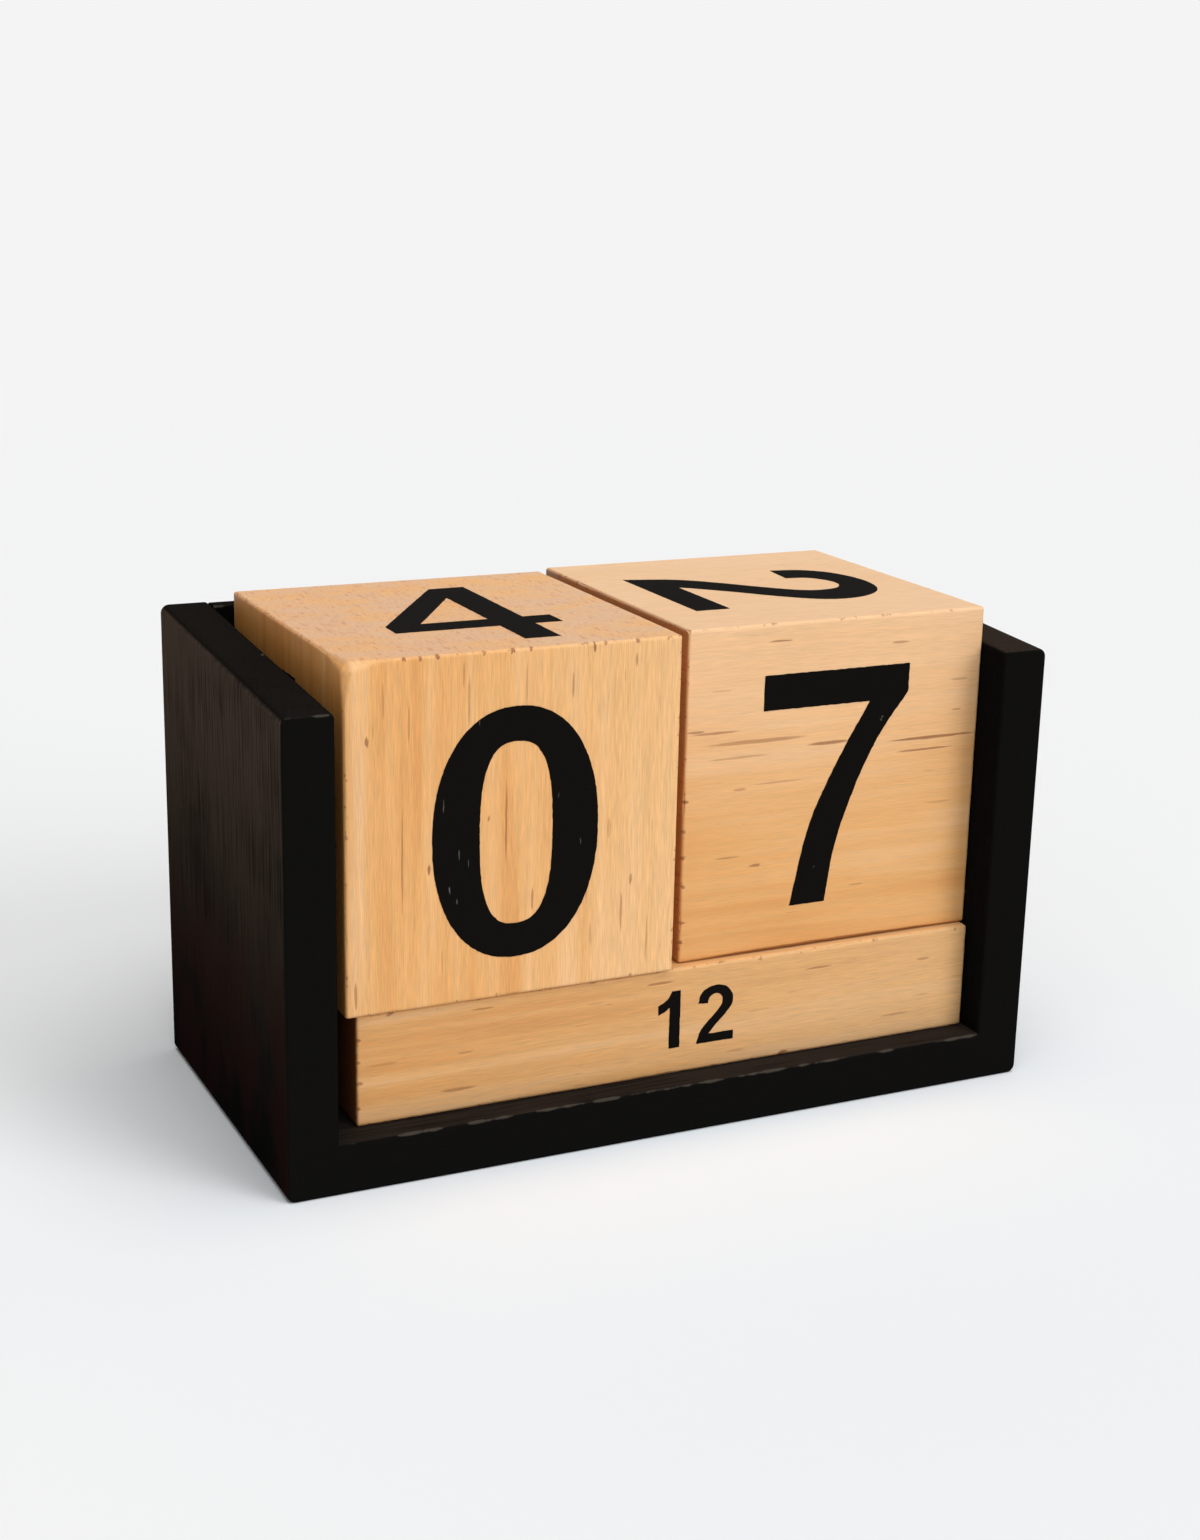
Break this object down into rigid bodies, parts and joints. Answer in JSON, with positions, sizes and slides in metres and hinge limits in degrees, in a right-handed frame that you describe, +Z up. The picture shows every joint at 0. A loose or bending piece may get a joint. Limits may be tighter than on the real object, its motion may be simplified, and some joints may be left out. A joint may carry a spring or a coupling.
{
  "type": "desk calendar",
  "caption": "Perpetual desk calendar: a black painted wooden holder, open in front and on top, with loose number cubes standing on loose square month bars.",
  "frame": {"origin": "on the table, under the centre of the holder's footprint", "axes": "+X along the width, to the right as seen from the open front; +Y towards the back panel; +Z up; the numbers face -Y"},
  "size_m": [0.12, 0.0594, 0.0747],
  "materials": {
    "black_paint": "thin matte black paint on wood, grain showing through",
    "bare_pine": "sanded pale wood with a thin clear satin coat",
    "steel_pins": "bright drawn steel wire"
  },
  "bodies": {
    "holder": {"left_wall": "black_paint", "right_wall": "black_paint", "base_board": "black_paint", "back_panel": "black_paint", "left_wall_pins": "steel_pins", "right_wall_pins": "steel_pins"},
    "left_cube": {"left_number_cube": "bare_pine"},
    "right_cube": {"right_number_cube": "bare_pine"},
    "rear_bar": {"rear_month_bar": "bare_pine"},
    "middle_bar": {"middle_month_bar": "bare_pine"},
    "front_bar": {"front_month_bar": "bare_pine"}
  },
  "joints": [
    {"name": "left_cube_lift", "type": "slide", "parent": "holder", "child": "left_cube", "axis": [0, 0, 1], "range_m": [0, 0.056]},
    {"name": "right_cube_lift", "type": "slide", "parent": "holder", "child": "right_cube", "axis": [0, 0, 1], "range_m": [0, 0.056]},
    {"name": "rear_bar_push", "type": "slide", "parent": "holder", "child": "rear_bar", "axis": [0, -1, 0], "range_m": [0, 0.06]},
    {"name": "middle_bar_push", "type": "slide", "parent": "rear_bar", "child": "middle_bar", "axis": [0, -1, 0], "range_m": [0, 0.043]},
    {"name": "front_bar_pull", "type": "slide", "parent": "middle_bar", "child": "front_bar", "axis": [0, -1, 0], "range_m": [0, 0.026]}
  ]
}
